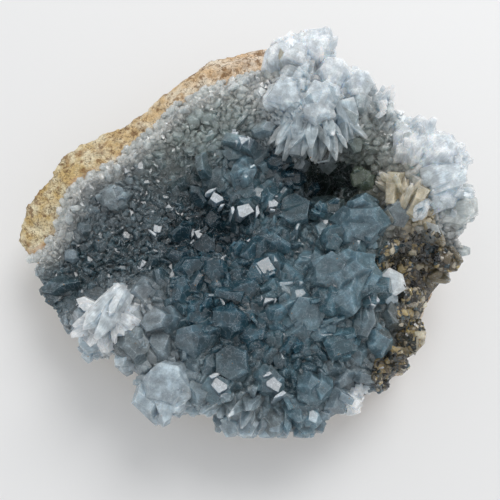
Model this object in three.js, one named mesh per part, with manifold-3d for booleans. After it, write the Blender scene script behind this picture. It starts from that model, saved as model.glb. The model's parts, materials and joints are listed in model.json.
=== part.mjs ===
// Celestite crystal cluster: a palm-sized piece of a geode's wall, lying crystal side up.
// A tan limestone shell, the matrix, carries a thick crust of grey-blue celestite.
// Millimetres, +Z up, origin in the middle of the flat on which the stone rests.
import * as THREE from "three";
import { ConvexGeometry } from "three/addons/geometries/ConvexGeometry.js";
import { mergeVertices } from "three/addons/utils/BufferGeometryUtils.js";
import Module from "manifold-3d";

const wasm = await Module();
wasm.setup();

const SEED = 4117;
const SEGMENTS = 44; // round the stone
const GAP = 0.3; // between the stone and the crust that grew on it
const STONE_FOOT = 0.62; // the resting flat's radius, as a share of the stone's
// The stone's side from foot to lip: [share of the height, share of the way out to its widest line].
const STONE_SIDE = [[0.1, 0.4], [0.24, 0.7], [0.4, 0.86], [0.57, 0.98], [0.74, 0.96], [0.92, 1]];
const STONE_LIP = 0.97; // where the crust's seat ends, as a share of the crust's rim
const SHOULDER = 0.4; // the ring between the widest line and the lip, as a share of that way
const STONE_LUMPS = [[14, 1.6], [5, 1.3]]; // the stone's unevenness: [width, height]
const CRUST_LUMPS = [[4.5, 0.9]];
const CRUST_UNDERCUT = 0.94; // the crust's foot, as a share of its rim
const CRUST_LEAST = 3; // the crust's least thickness
const CRUST_MIDDLE = 0.6; // the ring half way under the crust, as a share of its foot
const CRUST_EDGE = [[1.4, 0.3], [0.6, 0.7]]; // the crust's side: [inset, share of the height]
const SEAT_OVERLAP = 1; // how far the crust is made into the stone before it is cut clear of it
const SEAT_RINGS = [1, 0.84, 0.64, 0.36]; // as shares of the lip's radius
const FACE_RINGS = [0.95, 0.86, 0.77, 0.68, 0.59, 0.5, 0.41, 0.31, 0.2, 0.1]; // of the rim's
const LANDMARK_REACH = 6; // how far a landmark of the crystal face is felt
const SEAT_REACH = 14; // the same for the broad surface that the crust grew on
const CRYSTAL_TRIES = 3000;
const CRYSTAL_SPACING = 0.78; // between crystals, in widths
const CRYSTAL_WIDTHS = [2, 2.9]; // in grains
const CRYSTAL_LENGTHS = [1, 1.3]; // in widths
const CRYSTAL_LIFT = 0.06; // of its middle over the crystal face, in widths
const CRYSTAL_WANDER = 1.1; // how unevenly the crystals lean
const SLOPE_STEP = 1.5; // from a crystal to where the slope of the crystal face is taken
const SLOPE_FOLLOWED = 0.8; // how far they follow the slope of the crystal face
const BED_MARGIN = 0.95; // of the rim's radius, inside which they grow
const LEAST_GRAIN = 2.6; // where the usual crystal is narrower, the crystals are too fine for the solid
const RIM_STEP = 10; // between the crystals that stand out of the rim
const RIM_INSET = 4.2; // how far inside the rim their middles are
const RIM_WIDTHS = [6, 9.5];
const RIM_LENGTH = 1.3; // in widths
const RIM_RISES = [0.4, 0.9]; // of their middles, as shares of the crust's side
const RIM_LEANS = [100, 50]; // at the low and the high ones, in degrees
const RIM_SWING = 0.9; // radians by which they point past each other
// How often each form grows in the bed and at the rim, as shares of one.
const BED_FORMS = [["wedge", 0.65], ["block", 0.1], ["table", 0.1], ["plate", 0.15]];
const RIM_FORMS = [["wedge", 0.7], ["plate", 0.3]];
const FINISH = 0.5; // detail finer than this is smoothed away
const DEGREE = Math.PI / 180;

// The crystal crust's rim, clockwise in plan from its left tip.
const CRUST_OUTLINE = [
  [-60, -1], [-54, 1], [-50, 7], [-49, 11], [-46, 17], [-41, 19], [-36, 22], [-30, 28],
  [-24, 33], [-19, 38], [-12, 42], [-3, 46], [4, 49], [9, 52], [12, 58], [17, 60],
  [22, 54], [26, 46], [33, 41], [40, 36], [46, 31], [53, 27], [57, 23], [52, 17],
  [55, 11], [57, 5], [55, 2], [55, -4], [50, -9], [47, -14], [44, -22], [41, -29],
  [37, -34], [31, -36], [24, -41], [16, -45], [7, -46], [-2, -46], [-8, -42], [-16, -40],
  [-22, -38], [-25, -34], [-27, -30], [-33, -28], [-40, -26], [-45, -22], [-49, -16],
  [-54, -11], [-57, -6],
];

// The stone's own widest line. It stands out past the crust at the upper left and the lower right.
const STONE_OUTLINE = [
  [-62, -1], [-65, 5], [-66, 9], [-63, 13], [-60, 16], [-56, 20], [-53, 26], [-48, 32],
  [-41, 34], [-31, 39], [-26, 44], [-21, 49], [-14, 54], [-4, 59], [6, 63], [12, 62],
  [18, 55], [25, 48], [32, 40], [42, 29], [50, 23], [53, 15], [54, 6], [56, -2],
  [51, -10], [48, -17], [45, -24], [41, -31], [34, -34], [22, -38], [10, -41], [0, -41],
  [-12, -38], [-21, -35], [-24, -28], [-36, -25], [-46, -17], [-52, -10], [-58, -5],
];

// Landmarks of the crystal face: [x, y, height, grain], the grain being the usual crystal's width.
const FACE = [
  [-59, -2, 20, 1.5], [-49, 11, 29, 1.2], [-36, 20, 33, 1.2], [-19, 36, 35, 1.3],
  [-3, 46, 36, 1.5], [7, 45, 38, 2], [-51, -5, 21, 1.6], [-44, -12, 18, 1.6],
  [-40, 3, 24, 1.6], [-32, -5, 23, 2], [-37, 14, 28, 2], [-27, 14, 24, 2],
  [-24, 26, 30, 1.6], [-14, 32, 31, 1.8], [-17, 18, 23, 2.5], [-10, 5, 21, 3.5],
  [-3, 37, 33, 2], [-3, 23, 28, 4], [4, 16, 27, 4], [9, 20, 22, 4],
  [21, 31, 40, 3], [23, 19, 14, 3], [13, 36, 41, 3], [19, 50, 40, 3],
  [25, 42, 37, 3], [14, 30, 41, 2.5], [32, 28, 35, 2.5], [33, 22, 26, 2.5],
  [39, 31, 38, 2.5], [45, 21, 39, 3], [53, 22, 35, 3], [48, 10, 34, 3],
  [57, 7, 27, 3.5], [39, 11, 31, 4], [29, 6, 29, 5], [22, -8, 30, 5],
  [25, -15, 29, 5], [15, -3, 24, 3], [3, -6, 27, 4], [-8, -12, 27, 4],
  [-18, -20, 26, 4], [0, -20, 28, 4], [13, -20, 29, 5], [12, -27, 25, 4],
  [25, -27, 26, 4], [34, -23, 25, 4], [42, -5, 22, 2.5], [46, -10, 18, 2.5],
  [40, -23, 19, 2.5], [36, -31, 18, 3], [-5, -27, 27, 4], [2, -35, 25, 4.5],
  [16, -36, 23, 5], [25, -38, 20, 3], [-33, -21, 29, 3.5], [-40, -24, 24, 3],
  [-28, -26, 24, 3.5], [-20, -36, 25, 5], [-7, -36, 25, 4], [0, -42, 19, 5],
];

// Hollows between the crystals: [x, y, reach, depth].
const HOLLOWS = [[19, 23, 3.5, 9], [25, 22, 3.5, 7], [14, -2, 3, 4], [-8, 5, 5, 3]];

// Landmarks of the stone's upper side, the seat of the crust: [x, y, height].
const SEAT = [
  [-49, 11, 26], [-36, 22, 31], [-19, 38, 33], [-3, 48, 34], [8, 54, 31], [-60, -1, 17],
  [0, 0, 12], [22, 26, 8], [20, 58, 20], [40, 36, 18], [55, 20, 15], [57, 4, 14],
  [46, -12, 12], [38, -32, 12], [0, -42, 11], [-24, -36, 11], [-42, -24, 12], [-50, -10, 14],
];

// Large crystals placed one by one: [x, y, width, length, form, lean, towards, spin]. The lean from
// upright is in degrees, towards a compass of the plan in which 0 is +X and 90 is +Y.
const LARGE = [
  [29, 6, 12, 11, "table", 8, 200, 20],
  [24, -9, 14, 13, "block", 10, 300, 65],
  [20, -14, 9, 11, "block", 18, 250, 10],
  [29, -12, 9, 11, "wedge", 20, 320, 80],
  [15, -5, 7, 9, "wedge", 48, 170, 30],
  [22, 2, 7, 9, "wedge", 28, 110, 15],
  [36, -9, 7, 10, "table", 12, 330, 10],
  [36, -13, 4.5, 7, "block", 20, 250, 40],
  [14, -18, 9, 8, "table", 15, 260, 30],
  [5, -14, 7, 9, "wedge", 26, 200, 20],
  [-2, 20, 7, 9, "block", 16, 60, 30],
  [5, 14, 8, 9, "wedge", 30, 280, 75],
  [-8, 14, 5, 7, "wedge", 20, 210, 0],
  [-10, 10, 5.5, 7, "block", 18, 240, 50],
  [-1, 9, 5, 7, "wedge", 16, 100, 35],
  [6, 10, 5, 7, "wedge", 30, 20, 60],
  [8, 24, 6, 8, "plate", 34, 330, 20],
  [11, 20, 6, 8, "block", 24, 300, 5],
  [17, 19, 5, 7, "wedge", 30, 250, 40],
  [27, 17, 6, 8, "wedge", 32, 190, 70],
  [31, 20, 6, 8, "block", 36, 210, 10],
  [12, 28, 7, 11, "wedge", 104, 262, 0],
  [19, 28, 7, 12, "wedge", 102, 275, 30],
  [25, 32, 6, 11, "wedge", 108, 285, 60],
  [38, 8, 7, 8, "block", 24, 240, 25],
  [38, 14, 9, 11, "plate", 46, 215, 80],
  [43, 10, 9, 11, "plate", 40, 225, 60],
  [-2, -1, 6, 8, "wedge", 24, 140, 45],
  [-9, -7, 7, 8, "block", 18, 100, 0],
  [3, -7, 7, 8, "block", 14, 40, 30],
  [-12, -18, 7, 8, "block", 20, 200, 70],
  [1, -23, 7, 8, "wedge", 22, 300, 15],
  [10, -25, 6, 8, "wedge", 24, 240, 50],
  [22, -25, 8, 9, "block", 22, 280, 20],
  [32, -24, 7, 8, "block", 18, 300, 60],
  [5, -34, 7, 9, "block", 24, 270, 0],
  [-8, -36, 7, 9, "table", 10, 250, 15],
  [-20, -35, 12, 12, "block", 22, 235, 75],
  [-33, -21, 9, 11, "wedge", 34, 140, 40],
  [-38, -24, 8, 10, "wedge", 40, 190, 60],
  [-29, -25, 9, 10, "block", 26, 270, 30],
  [-34, -11, 4.5, 6, "wedge", 24, 90, 10],
  [-36, 13, 7, 7, "block", 14, 200, 20],
  [-47, -1, 4, 5, "block", 22, 200, 0],
  [15, -36, 8, 10, "block", 34, 275, 50],
  [54, 9, 8, 10, "block", 50, 350, 15],
  [50, 16, 9, 10, "plate", 50, 10, 70],
  [11, 50, 11, 10, "block", 14, 120, 30],
  [17, 52, 10, 9, "block", 22, 80, 10],
  [9, 37, 8, 9, "block", 18, 170, 60],
  [18, 36, 9, 9, "block", 30, 280, 20],
  [43, 25, 10, 9, "block", 22, 60, 40],
  [49, 22, 10, 9, "block", 30, 30, 10],
  [50, 12, 8, 8, "block", 24, 330, 60],
  [-1, -43, 6, 9, "wedge", 64, 270, 0],
  [6, -43, 6, 9, "wedge", 62, 272, 40],
  [13, -42, 6, 10, "wedge", 64, 288, 20],
];

// A repeatable run of numbers from 0 to 1, the mulberry32 generator.
function randomRun(seed) {
  let state = seed >>> 0;
  return () => {
    state = (state + 0x6d2b79f5) >>> 0;
    let t = Math.imul(state ^ (state >>> 15), state | 1);
    t = (t + Math.imul(t ^ (t >>> 7), t | 61)) ^ t;
    return ((t ^ (t >>> 14)) >>> 0) / 4294967296;
  };
}

// One number from 0 to 1 for each corner of a unit grid.
function cornerValue(ix, iy, iz) {
  let h = Math.imul(ix, 374761393) + Math.imul(iy, 668265263) + Math.imul(iz, 2147483647);
  h = Math.imul(h ^ (h >>> 13), 1274126177);
  return ((h ^ (h >>> 16)) >>> 0) / 4294967296;
}

// Smooth lumps from -1 to 1, about one cell wide.
function lumps(x, y, z, cell) {
  const ease = (f) => f * f * (3 - 2 * f);
  const [px, py, pz] = [x / cell, y / cell, z / cell];
  const [ix, iy, iz] = [Math.floor(px), Math.floor(py), Math.floor(pz)];
  const [fx, fy, fz] = [ease(px - ix), ease(py - iy), ease(pz - iz)];
  let sum = 0;
  for (let corner = 0; corner < 8; corner++) {
    const [dx, dy, dz] = [corner & 1, (corner >> 1) & 1, corner >> 2];
    const weight = (dx ? fx : 1 - fx) * (dy ? fy : 1 - fy) * (dz ? fz : 1 - fz);
    sum += weight * cornerValue(ix + dx, iy + dy, iz + dz);
  }
  return 2 * sum - 1;
}

const between = ([low, high], share) => low + (high - low) * share;

// How far an uneven surface stands in or out at a point, from lumps of several sizes.
const unevenness = (sizes, x, y, z) =>
  sizes.reduce((sum, [width, height]) => sum + height * lumps(x, y, z, width), 0);

// The radius of an outline in a direction, straight between its points as seen from the middle.
function radiusOf(outline) {
  const knots = outline
    .map(([x, y]) => ({ angle: Math.atan2(y, x), radius: Math.hypot(x, y) }))
    .sort((a, b) => a.angle - b.angle);
  const first = knots[0];
  const last = knots[knots.length - 1];
  knots.unshift({ angle: last.angle - 2 * Math.PI, radius: last.radius });
  knots.push({ angle: first.angle + 2 * Math.PI, radius: first.radius });
  return (angle) => {
    const next = knots.findIndex((knot) => knot.angle >= angle);
    const [a, b] = [knots[Math.max(next - 1, 0)], knots[Math.max(next, 1)]];
    const share = (angle - a.angle) / (b.angle - a.angle);
    return a.radius + (b.radius - a.radius) * share;
  };
}

// The blend of the landmarks' values in one column, at a point of the plan.
function blend(landmarks, column, reach, x, y) {
  let [sum, weights] = [0, 1e-12];
  for (const mark of landmarks) {
    const weight = Math.exp(-((x - mark[0]) ** 2 + (y - mark[1]) ** 2) / (2 * reach ** 2));
    sum += weight * mark[column];
    weights += weight;
  }
  return sum / weights;
}

const crustRadius = radiusOf(CRUST_OUTLINE);
const stoneRadius = radiusOf(STONE_OUTLINE);
const grainAt = (x, y) => blend(FACE, 3, LANDMARK_REACH, x, y);
const hollowDepth = (x, y) =>
  HOLLOWS.reduce(
    (sum, [u, v, reach, depth]) =>
      sum + depth * Math.exp(-((x - u) ** 2 + (y - v) ** 2) / (2 * reach ** 2)),
    0,
  );
const faceHeight = (x, y) => blend(FACE, 2, LANDMARK_REACH, x, y) - hollowDepth(x, y);
const seatHeight = (x, y) =>
  Math.min(blend(SEAT, 2, SEAT_REACH, x, y), faceHeight(x, y) - CRUST_LEAST);

// A closed surface turned round the Z axis from a profile that changes with the direction.
// profile(angle) gives rings of [radius, height], from the underside's middle to the top's.
function lathed(profile) {
  const rings = Array.from({ length: SEGMENTS }, (_, i) =>
    profile(-Math.PI + (2 * Math.PI * (i + 0.5)) / SEGMENTS),
  );
  const ringCount = rings[0].length - 2;
  const positions = [0, 0, rings[0][0][1]];
  for (let ring = 1; ring <= ringCount; ring++)
    for (let i = 0; i < SEGMENTS; i++) {
      const angle = -Math.PI + (2 * Math.PI * (i + 0.5)) / SEGMENTS;
      const [radius, height] = rings[i][ring];
      positions.push(radius * Math.cos(angle), radius * Math.sin(angle), height);
    }
  positions.push(0, 0, rings[0][ringCount + 1][1]);
  const top = positions.length / 3 - 1;
  const at = (ring, i) => 1 + ring * SEGMENTS + (i % SEGMENTS);
  const index = [];
  for (let i = 0; i < SEGMENTS; i++) {
    index.push(0, at(0, i + 1), at(0, i));
    for (let ring = 0; ring < ringCount - 1; ring++) {
      const [a, b, c, d] = [at(ring, i), at(ring, i + 1), at(ring + 1, i), at(ring + 1, i + 1)];
      index.push(a, b, d, a, d, c);
    }
    index.push(top, at(ringCount - 1, i), at(ringCount - 1, i + 1));
  }
  return new THREE.BufferGeometry()
    .setAttribute("position", new THREE.Float32BufferAttribute(positions, 3))
    .setIndex(index);
}

// The limestone: a rough bowl with a flat broken foot. skin thickens it all round.
function stoneGeometry(skin) {
  return lathed((angle) => {
    const [c, s] = [Math.cos(angle), Math.sin(angle)];
    const widest = stoneRadius(angle);
    const foot = widest * STONE_FOOT;
    const lip = Math.min(crustRadius(angle), widest) * STONE_LIP;
    const lipHeight = seatHeight(lip * c, lip * s);
    const wall = STONE_SIDE.map(([rise, share]) => {
      const radius = between([foot, widest], share);
      const height = lipHeight * rise;
      const rough = unevenness(STONE_LUMPS, radius * c, radius * s, height);
      return [radius + rough + skin, height];
    });
    const shoulder = between([widest, lip], SHOULDER);
    const seat = SEAT_RINGS.map((share) => {
      const radius = lip * share;
      return [radius, seatHeight(radius * c, radius * s) + skin];
    });
    return [
      [0, -skin],
      [foot / 2, -skin],
      [foot + skin, -skin],
      ...wall,
      [shoulder + skin, lipHeight + skin],
      ...seat,
      [0, seatHeight(0, 0) + skin],
    ];
  });
}

// The massive celestite under the crystals, from the stone's seat up to the crystal face.
function crustGeometry() {
  return lathed((angle) => {
    const [c, s] = [Math.cos(angle), Math.sin(angle)];
    const rim = crustRadius(angle);
    const inner = Math.min(rim, stoneRadius(angle)) * CRUST_UNDERCUT;
    const seatAt = (radius) => seatHeight(radius * c, radius * s) - SEAT_OVERLAP;
    const middle = inner * CRUST_MIDDLE;
    const knobs = (radius, height) => unevenness(CRUST_LUMPS, radius * c, radius * s, height);
    const rimHeights = [seatHeight(inner * c, inner * s), faceHeight(rim * c, rim * s)];
    const edge = CRUST_EDGE.map(([inset, rise]) => {
      const height = between(rimHeights, rise);
      return [rim - inset + knobs(rim, height), height];
    });
    const face = FACE_RINGS.map((share) => {
      const radius = rim * share;
      const height = faceHeight(radius * c, radius * s);
      return [radius, height + knobs(radius, height)];
    });
    const under = [[0, seatAt(0)], [middle, seatAt(middle)], [inner, seatAt(inner)]];
    return [...under, ...edge, ...face, [0, faceHeight(0, 0)]];
  });
}

// The forms of a crystal 2 wide and 2 long about its middle: an upright prism closed by sloping domes
// and a flat. Prism faces are [direction, distance] and domes are [direction, rise, distance], where a
// dome's rise is how far its normal leans up. Directions and rises are in degrees.
const FORMS = {
  block: {
    prism: [[0, 0.92], [52, 0.86], [128, 0.86], [180, 0.92], [232, 0.86], [308, 0.86]],
    domes: [[0, 50, 0.98], [90, 46, 0.92], [180, 50, 0.98], [270, 46, 0.92]],
    flat: 0.86,
  },
  wedge: {
    prism: [[52, 0.74], [128, 0.74], [232, 0.74], [308, 0.74]],
    domes: [[0, 42, 0.94], [90, 36, 0.68], [180, 42, 0.94], [270, 36, 0.68]],
    flat: 0.95,
  },
  plate: {
    prism: [[0, 0.95], [90, 0.38], [180, 0.95], [270, 0.38]],
    domes: [[0, 44, 0.98], [90, 22, 0.46], [180, 36, 1.02]],
    flat: 0.95,
  },
  table: {
    prism: [[0, 0.9], [60, 0.86], [120, 0.9], [180, 0.84], [240, 0.9], [300, 0.86]],
    domes: [[0, 38, 1.08], [120, 38, 1.04], [240, 38, 1.06]],
    flat: 0.7,
  },
};
const FORM_SHAPES = 4; // shapes of each form, which the crystals share
const FACE_TURN = 4; // degrees by which a shape's faces are turned from the form's, at most
const FACE_SHIFT = 0.07; // the same for their distances, as a share
const ROOT = 0.8; // of the flat at the lower end, which is buried

// The faces of one crystal, each [x, y, z, distance] with its normal outwards.
function crystalFaces({ prism, domes, flat }, jitter) {
  const face = ([around, up, distance]) => {
    const [a, u] = [(around + FACE_TURN * jitter()) * DEGREE, up * DEGREE];
    const reach = distance * (1 + FACE_SHIFT * jitter());
    return [Math.cos(u) * Math.cos(a), Math.cos(u) * Math.sin(a), Math.sin(u), reach];
  };
  const upright = prism.map(([around, distance]) => face([around, 0, distance]));
  return [...upright, ...domes.map(face), [0, 0, 1, flat], [0, 0, -1, ROOT]];
}

// The corners where three of the faces meet inside all the others.
function cornersOf(faces) {
  const corners = [];
  const plane = (i) => new THREE.Vector3(faces[i][0], faces[i][1], faces[i][2]);
  for (let i = 0; i < faces.length; i++)
    for (let j = i + 1; j < faces.length; j++)
      for (let k = j + 1; k < faces.length; k++) {
        const [a, b, c] = [plane(i), plane(j), plane(k)];
        const bc = b.clone().cross(c);
        const det = a.dot(bc);
        if (Math.abs(det) < 1e-6) continue;
        const point = bc
          .multiplyScalar(faces[i][3])
          .add(c.clone().cross(a).multiplyScalar(faces[j][3]))
          .add(a.clone().cross(b).multiplyScalar(faces[k][3]))
          .divideScalar(det);
        if (faces.every(([x, y, z, d]) => x * point.x + y * point.y + z * point.z <= d + 1e-6))
          corners.push(point);
      }
  return corners;
}

const shapeRandom = randomRun(SEED);
const shapes = Object.fromEntries(
  Object.entries(FORMS).map(([name, form]) => [
    name,
    Array.from({ length: FORM_SHAPES }, () =>
      cornersOf(crystalFaces(form, () => 2 * shapeRandom() - 1)),
    ),
  ]),
);

// One crystal as a solid, its root buried below the point where it stands.
function crystalSolid({ x, y, z, width, length, form, shape, lean, towards, spin }) {
  const out = new THREE.Vector3(
    Math.sin(lean) * Math.cos(towards),
    Math.sin(lean) * Math.sin(towards),
    Math.cos(lean),
  );
  const turn = new THREE.Quaternion()
    .setFromUnitVectors(new THREE.Vector3(0, 0, 1), out)
    .multiply(new THREE.Quaternion().setFromAxisAngle(new THREE.Vector3(0, 0, 1), spin));
  const matrix = new THREE.Matrix4().compose(
    new THREE.Vector3(x, y, z),
    turn,
    new THREE.Vector3(width / 2, width / 2, length / 2),
  );
  return solidOf(new ConvexGeometry(shapes[form][shape]).applyMatrix4(matrix));
}

function solidOf(geometry) {
  const bare = geometry.clone();
  bare.deleteAttribute("normal");
  bare.deleteAttribute("uv");
  const merged = mergeVertices(bare, 1e-4);
  return new wasm.Manifold(
    new wasm.Mesh({
      numProp: 3,
      vertProperties: merged.attributes.position.array,
      triVerts: new Uint32Array(merged.index.array),
    }),
  );
}

// The slope of the crystal face: the way its normal leans, as a plan vector.
function slopeAt(x, y) {
  const step = SLOPE_STEP;
  return new THREE.Vector2(
    faceHeight(x - step, y) - faceHeight(x + step, y),
    faceHeight(x, y - step) - faceHeight(x, y + step),
  ).divideScalar(2 * step);
}

// The crystals placed one by one.
function largeCrystals() {
  return LARGE.map(([x, y, width, length, form, lean, towards, spin], i) => ({
    x,
    y,
    z: faceHeight(x, y),
    width,
    length,
    form,
    shape: i % FORM_SHAPES,
    lean: lean * DEGREE,
    towards: towards * DEGREE,
    spin: spin * DEGREE,
  }));
}

// A form picked by weight, from a share from 0 to 1.
function formFrom(weights, share) {
  let left = share;
  for (const [form, weight] of weights) {
    if (left < weight) return form;
    left -= weight;
  }
  return weights[0][0];
}

// The bed of crystals between them: points thrown at random, each kept if it has room.
function bedCrystals(random, large) {
  const bed = [];
  const reach = Math.max(...CRUST_OUTLINE.map(([x, y]) => Math.hypot(x, y)));
  for (let n = 0; n < CRYSTAL_TRIES; n++) {
    const [across, along, size, spin, leanX, leanY, kind, shape] = Array.from({ length: 8 }, random);
    const x = between([-reach, reach], across);
    const y = between([-reach, reach], along);
    const grain = grainAt(x, y);
    const inside = Math.hypot(x, y) < crustRadius(Math.atan2(y, x)) * BED_MARGIN;
    if (grain < LEAST_GRAIN || !inside) continue;
    const width = grain * between(CRYSTAL_WIDTHS, size);
    const near = (other) =>
      Math.hypot(other.x - x, other.y - y) < ((width + other.width) / 2) * CRYSTAL_SPACING;
    if (bed.some(near) || large.some(near)) continue;
    const slope = slopeAt(x, y).multiplyScalar(SLOPE_FOLLOWED);
    const tiltX = slope.x + CRYSTAL_WANDER * (leanX - 0.5);
    const tiltY = slope.y + CRYSTAL_WANDER * (leanY - 0.5);
    bed.push({
      x,
      y,
      z: faceHeight(x, y) + CRYSTAL_LIFT * width,
      width,
      length: width * between(CRYSTAL_LENGTHS, size),
      form: formFrom(BED_FORMS, kind),
      shape: Math.floor(shape * FORM_SHAPES),
      lean: Math.atan(Math.hypot(tiltX, tiltY)),
      towards: Math.atan2(tiltY, tiltX),
      spin: spin * 2 * Math.PI,
    });
  }
  return bed;
}

// The crystals that stand out of the rim, pointing outwards and a little up or down.
function rimCrystals(random) {
  const rim = [];
  let angle = -Math.PI;
  while (angle < Math.PI) {
    const radius = crustRadius(angle);
    const [size, rise, spin, swing, kind, shape] = Array.from({ length: 6 }, random);
    const [c, s] = [Math.cos(angle), Math.sin(angle)];
    const sideHeights = [seatHeight(radius * c, radius * s), faceHeight(radius * c, radius * s)];
    const width = between(RIM_WIDTHS, size);
    if (stoneRadius(angle) < radius)
      rim.push({
        x: (radius - RIM_INSET) * c,
        y: (radius - RIM_INSET) * s,
        z: between(sideHeights, between(RIM_RISES, rise)),
        width,
        length: width * RIM_LENGTH,
        form: formFrom(RIM_FORMS, kind),
        shape: Math.floor(shape * FORM_SHAPES),
        lean: between(RIM_LEANS, rise) * DEGREE,
        towards: angle + RIM_SWING * (swing - 0.5),
        spin: spin * 2 * Math.PI,
      });
    angle += RIM_STEP / radius;
  }
  return rim;
}

function largestPiece(solid) {
  return solid.decompose().sort((a, b) => b.volume() - a.volume())[0];
}

// A solid back as a three.js mesh, with its own material.
function named(name, solid, colour, roughness) {
  const { numProp, vertProperties, triVerts, numVert } = solid.getMesh();
  const positions = new Float32Array(numVert * 3);
  for (let i = 0; i < numVert; i++)
    positions.set(vertProperties.subarray(i * numProp, i * numProp + 3), i * 3);
  const geometry = new THREE.BufferGeometry()
    .setAttribute("position", new THREE.BufferAttribute(positions, 3))
    .setIndex(new THREE.BufferAttribute(triVerts, 1));
  geometry.computeVertexNormals();
  const material = new THREE.MeshStandardMaterial({ color: colour, roughness, metalness: 0 });
  const mesh = new THREE.Mesh(geometry, material);
  mesh.name = name;
  return mesh;
}

function celestiteCrust() {
  const random = randomRun(SEED + 1);
  const large = largeCrystals();
  const crystals = [...large, ...bedCrystals(random, large), ...rimCrystals(random)];
  const grown = wasm.Manifold.union([solidOf(crustGeometry()), ...crystals.map(crystalSolid)]);
  return largestPiece(grown.simplify(FINISH).subtract(solidOf(stoneGeometry(GAP))));
}

const cluster = new THREE.Group();
cluster.add(
  named("limestone_matrix", solidOf(stoneGeometry(0)), 0xbfa27a, 0.9),
  named("celestite_crust", celestiteCrust(), 0x6f8591, 0.25),
);

export default cluster;
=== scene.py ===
"""Celestite crystal cluster: a piece of a geode's wall, a limestone shell with a crust of crystals."""

import json
import math
import random
from dataclasses import dataclass

import bmesh
import bpy
import numpy as np
from mathutils import Matrix, Vector, noise
from mathutils.bvhtree import BVHTree
from mathutils.kdtree import KDTree

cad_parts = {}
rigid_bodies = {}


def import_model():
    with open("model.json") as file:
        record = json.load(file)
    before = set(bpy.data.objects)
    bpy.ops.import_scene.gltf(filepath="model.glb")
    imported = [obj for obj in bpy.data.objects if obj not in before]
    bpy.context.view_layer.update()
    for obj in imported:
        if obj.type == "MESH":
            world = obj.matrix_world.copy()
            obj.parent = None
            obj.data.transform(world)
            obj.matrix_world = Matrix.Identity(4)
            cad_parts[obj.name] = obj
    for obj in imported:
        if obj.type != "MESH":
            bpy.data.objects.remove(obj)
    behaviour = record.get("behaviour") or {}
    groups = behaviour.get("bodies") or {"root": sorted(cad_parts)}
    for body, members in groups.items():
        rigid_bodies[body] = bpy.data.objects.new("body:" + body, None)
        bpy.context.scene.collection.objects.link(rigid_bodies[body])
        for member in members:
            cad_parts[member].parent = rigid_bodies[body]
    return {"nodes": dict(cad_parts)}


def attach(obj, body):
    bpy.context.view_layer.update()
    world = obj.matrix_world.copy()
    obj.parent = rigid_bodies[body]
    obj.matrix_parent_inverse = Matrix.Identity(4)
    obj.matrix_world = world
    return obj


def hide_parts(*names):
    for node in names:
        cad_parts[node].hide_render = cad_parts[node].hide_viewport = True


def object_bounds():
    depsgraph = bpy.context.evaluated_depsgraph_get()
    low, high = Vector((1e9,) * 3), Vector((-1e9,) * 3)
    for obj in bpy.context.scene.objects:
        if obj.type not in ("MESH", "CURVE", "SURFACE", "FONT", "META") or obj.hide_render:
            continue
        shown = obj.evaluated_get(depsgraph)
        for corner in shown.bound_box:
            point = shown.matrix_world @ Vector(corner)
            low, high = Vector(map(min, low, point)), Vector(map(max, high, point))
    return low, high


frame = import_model()
cad_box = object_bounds()

MM = 0.001
SEED = 4117
UP = Vector((0, 0, 1))
DOWN = Vector((0, 0, -1))

# The photograph's view, from above the near edge and looking down.
IMAGE_SIZE = 500  # pixels
FOCAL_PIXELS = 600
SENSOR_WIDTH = 36
NEAREST_SEEN = 0.01
CAMERA_TILT = math.radians(19)  # off the vertical
CAMERA_DISTANCE = 155 * MM
CAMERA_TARGET = Vector((0, 0, 28 * MM))
CAMERA_BACK = Vector((0, -math.sin(CAMERA_TILT), math.cos(CAMERA_TILT)))
CAMERA_PLACE = CAMERA_TARGET + CAMERA_BACK * CAMERA_DISTANCE
TARGET_PIXEL = (250, 245)  # where the target is in the photograph

# The studio: one soft window, and a pale sky over a pale floor.
WINDOW_PLACE = Vector((0.24, 0.42, 0.66))
WINDOW_SIZE = 0.4
WINDOW_POWER = 2.8
SKY_COLOUR = (0.97, 0.98, 1, 1)
SKY_STRENGTH = 0.74
FLOOR_REACH = 0.6  # from its middle to its sides
FLOOR = {"Base Color": (0.8, 0.8, 0.795, 1), "Roughness": 0.9}

# The tints by name: the colour as seen, 0 to 255, and how clear it is.
TINTS = {
    "rime": ((184, 189, 187), 0.1), "mist": ((132, 143, 140), 0.2), "frost": ((106, 118, 124), 0.2),
    "white": ((217, 223, 227), 0.12), "milk": ((196, 205, 210), 0.14), "pale": ((164, 177, 184), 0.18),
    "sky": ((98, 122, 132), 0.24), "blue": ((76, 103, 113), 0.26), "teal": ((48, 79, 91), 0.28),
    # The dark greenish tint is painted shade: it darkens the hollow under the overhanging tips.
    "deep": ((30, 56, 66), 0.35), "dark": ((52, 62, 60), 0.15), "black": ((17, 16, 13), 0.3),
    "smoke": ((44, 64, 71), 0.2), "grey": ((118, 129, 133), 0.2), "glint": ((100, 112, 120), 0.0),
    "olive": ((96, 106, 92), 0.25), "brown": ((62, 56, 41), 0.3), "umber": ((112, 102, 82), 0.25),
    "ochre": ((156, 138, 96), 0.02), "tan": ((184, 174, 150), 0.12),
}

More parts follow.
